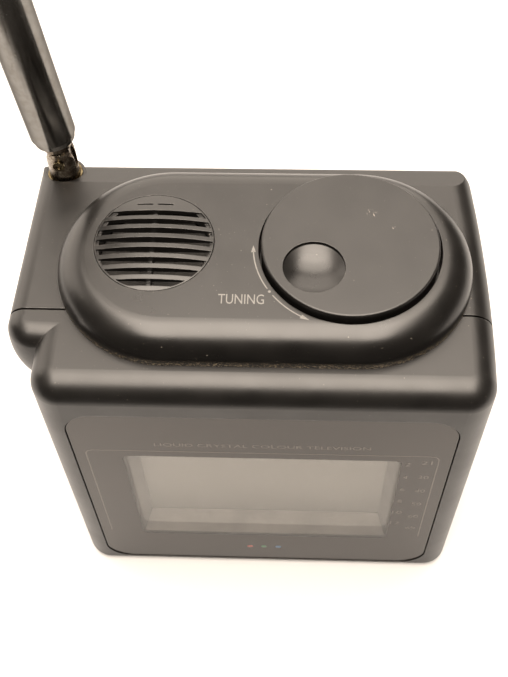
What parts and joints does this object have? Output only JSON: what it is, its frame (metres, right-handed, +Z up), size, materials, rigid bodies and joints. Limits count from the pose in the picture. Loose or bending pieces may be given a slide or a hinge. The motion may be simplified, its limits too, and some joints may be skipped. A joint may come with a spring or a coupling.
{
  "type": "portable television",
  "caption": "Pocket television standing on its base, with a front picture window, a raised top carrying a round tuning dial and a domed speaker grille, and a telescopic aerial.",
  "frame": {"origin": "middle of the flat base, on the surface it stands on", "axes": "+Z up; -Y towards the viewer, out of the picture; +X to the viewer's right, away from the aerial"},
  "size_m": [0.1084, 0.065, 0.1901],
  "materials": {
    "case_plastic": "fine satin moulding, near black",
    "cover_plastic": "satin moulding, near black",
    "dial_plastic": "smooth black, glossy finger dish",
    "smoked_panel": "smoked clear moulding, back printed",
    "sheet_steel": "bright pressed sheet",
    "picture_glass": "polarised grey glass",
    "bezel_plastic": "pale grey moulding round the picture",
    "white_plastic": "white moulding",
    "lamp_glass": "frosted lamp tube",
    "circuit_board": "green solder mask",
    "component_plastic": "black component moulding",
    "capacitor_can": "plain can",
    "screw_steel": "blackened screws",
    "speaker_paper": "pressed paper cone",
    "magnet_ceramic": "ferrite",
    "control_plastic": "black moulding",
    "spring_steel": "plated spring wire and strip",
    "cell_wrap": "printed foil wrap",
    "jack_plastic": "black moulding",
    "worn_brass": "plating worn through to brass",
    "bright_chrome": "polished plating",
    "pad_rubber": "plain rubber"
  },
  "bodies": {
    "case": {"aerial_bush": "worn_brass", "aerial_tag": "sheet_steel", "backlight_lamps": "lamp_glass", "band_switch": "component_plastic", "base_pads": "pad_rubber", "battery_box": "component_plastic", "battery_cells": "cell_wrap", "battery_plates": "spring_steel", "battery_springs": "spring_steel", "board_capacitors": "capacitor_can", "board_chips": "component_plastic", "board_screws": "screw_steel", "bright_control": "component_plastic", "case_screws": "screw_steel", "dial_spring": "spring_steel", "display_board": "circuit_board", "display_frame": "sheet_steel", "earphone_jack": "jack_plastic", "front_panel": "smoked_panel", "front_shell": "case_plastic", "light_diffuser": "white_plastic", "light_tray": "white_plastic", "main_board": "circuit_board", "picture_panel": "picture_glass", "power_jack": "jack_plastic", "power_switch": "component_plastic", "rear_shell": "case_plastic", "screen_bezel": "bezel_plastic", "speaker_basket": "sheet_steel", "speaker_cone": "speaker_paper", "speaker_grille": "cover_plastic", "speaker_magnet": "magnet_ceramic", "top_cover": "cover_plastic", "tuner_can": "sheet_steel", "tuning_board": "circuit_board", "tuning_switches": "component_plastic", "video_jack": "jack_plastic", "volume_control": "component_plastic"},
    "tuning_dial": {"tuning_dial": "dial_plastic", "dial_shaft": "control_plastic", "dial_lever": "control_plastic", "dial_clip": "spring_steel"},
    "aerial_base": {"aerial_swivel": "worn_brass", "aerial_rivet": "worn_brass", "aerial_nut": "worn_brass"},
    "aerial_arm": {"aerial_knuckle": "worn_brass", "aerial_tube": "bright_chrome"},
    "aerial_section_2": {"aerial_section_2": "bright_chrome"},
    "aerial_section_3": {"aerial_section_3": "bright_chrome"},
    "aerial_section_4": {"aerial_section_4": "bright_chrome"},
    "aerial_rod": {"aerial_rod": "bright_chrome", "aerial_tip": "bright_chrome"},
    "battery_door": {"battery_door": "case_plastic"},
    "volume_wheel": {"volume_wheel": "control_plastic"},
    "bright_wheel": {"bright_wheel": "control_plastic"},
    "power_slider": {"power_slider": "control_plastic"},
    "band_slider": {"band_slider": "control_plastic"}
  },
  "joints": [
    {"name": "dial_turn", "type": "hinge", "parent": "case", "child": "tuning_dial", "pos_m": [0.018, -0.0004, 0.0985], "axis": [0, 0, 1], "range_deg": [-28, 28], "stiffness_Nm_per_rad": 0.02},
    {"name": "aerial_swivel_turn", "type": "hinge", "parent": "case", "child": "aerial_base", "pos_m": [-0.0469, 0.0272, 0.0915], "axis": [0, 0, 1], "continuous": true},
    {"name": "aerial_tilt", "type": "hinge", "parent": "aerial_base", "child": "aerial_arm", "pos_m": [-0.0469, 0.0272, 0.0963], "axis": [0, -1, 0], "range_deg": [-4.5, 50.5]},
    {"name": "aerial_slide_2", "type": "slide", "parent": "aerial_arm", "child": "aerial_section_2", "axis": [-0.0785, 0, 0.9969], "range_m": [0, 0.062]},
    {"name": "aerial_slide_3", "type": "slide", "parent": "aerial_section_2", "child": "aerial_section_3", "axis": [-0.0785, 0, 0.9969], "range_m": [0, 0.062]},
    {"name": "aerial_slide_4", "type": "slide", "parent": "aerial_section_3", "child": "aerial_section_4", "axis": [-0.0785, 0, 0.9969], "range_m": [0, 0.062]},
    {"name": "aerial_slide_rod", "type": "slide", "parent": "aerial_section_4", "child": "aerial_rod", "axis": [-0.0785, 0, 0.9969], "range_m": [0, 0.062]},
    {"name": "battery_door_hinge", "type": "hinge", "parent": "case", "child": "battery_door", "pos_m": [0, 0.0304, 0.0052], "axis": [-1, 0, 0], "range_deg": [0, 90]},
    {"name": "volume_turn", "type": "hinge", "parent": "case", "child": "volume_wheel", "pos_m": [0.0405, 0.0037, 0.062], "axis": [0, 1, 0], "range_deg": [0, 270]},
    {"name": "bright_turn", "type": "hinge", "parent": "case", "child": "bright_wheel", "pos_m": [0.0405, 0.0037, 0.04], "axis": [0, 1, 0], "range_deg": [0, 270]},
    {"name": "power_slide", "type": "slide", "parent": "case", "child": "power_slider", "axis": [0, 0, 1], "range_m": [0, 0.0036]},
    {"name": "band_slide", "type": "slide", "parent": "case", "child": "band_slider", "axis": [1, 0, 0], "range_m": [-0.004, 0.004]}
  ]
}
